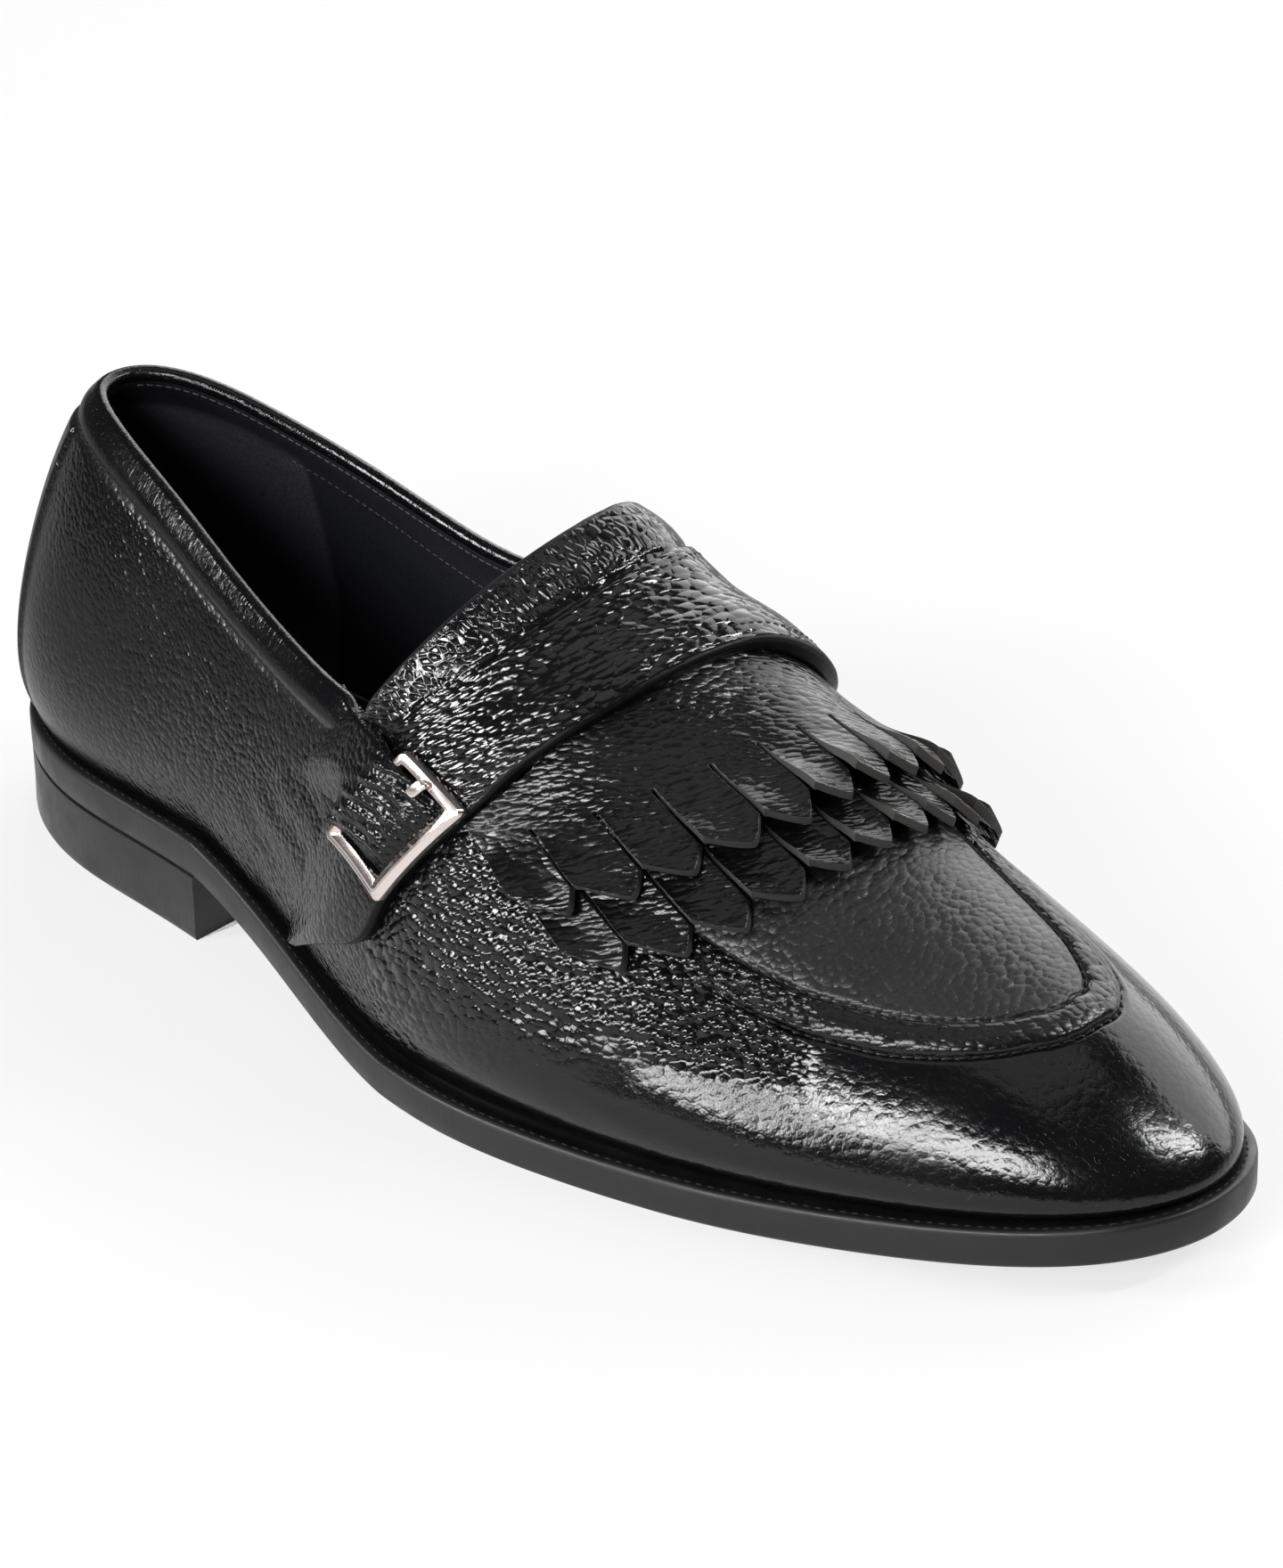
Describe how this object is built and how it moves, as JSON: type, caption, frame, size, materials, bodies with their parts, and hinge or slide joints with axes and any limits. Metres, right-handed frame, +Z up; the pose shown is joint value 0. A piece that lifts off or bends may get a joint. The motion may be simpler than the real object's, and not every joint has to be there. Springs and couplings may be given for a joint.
{
  "type": "monk strap loafer",
  "caption": "Right shoe: black grained leather loafer with a buckled strap over the instep, a layered pointed fringe, a moccasin apron toe and a low stacked heel.",
  "frame": {"origin": "centre of the bounding box on the ground plane", "axes": "+X to the toe, +Y to the inner side of the foot, +Z up"},
  "size_m": [0.302, 0.1038, 0.1058],
  "materials": {
    "outsole": "matte black",
    "heel": "matte black",
    "insole": "smooth dark lining",
    "upper": "glossy black pebble grain",
    "strap": "glossy black pebble grain",
    "fringe": "satin black grain",
    "buckle": "polished, slightly warm"
  },
  "bodies": {
    "root": {"outsole": "outsole", "heel": "heel", "insole": "insole", "upper": "upper", "strap": "strap", "kiltie_upper_layer": "fringe", "kiltie_lower_layer": "fringe", "buckle_frame": "buckle", "buckle_prong": "buckle", "buckle_tab": "strap"}
  },
  "joints": []
}
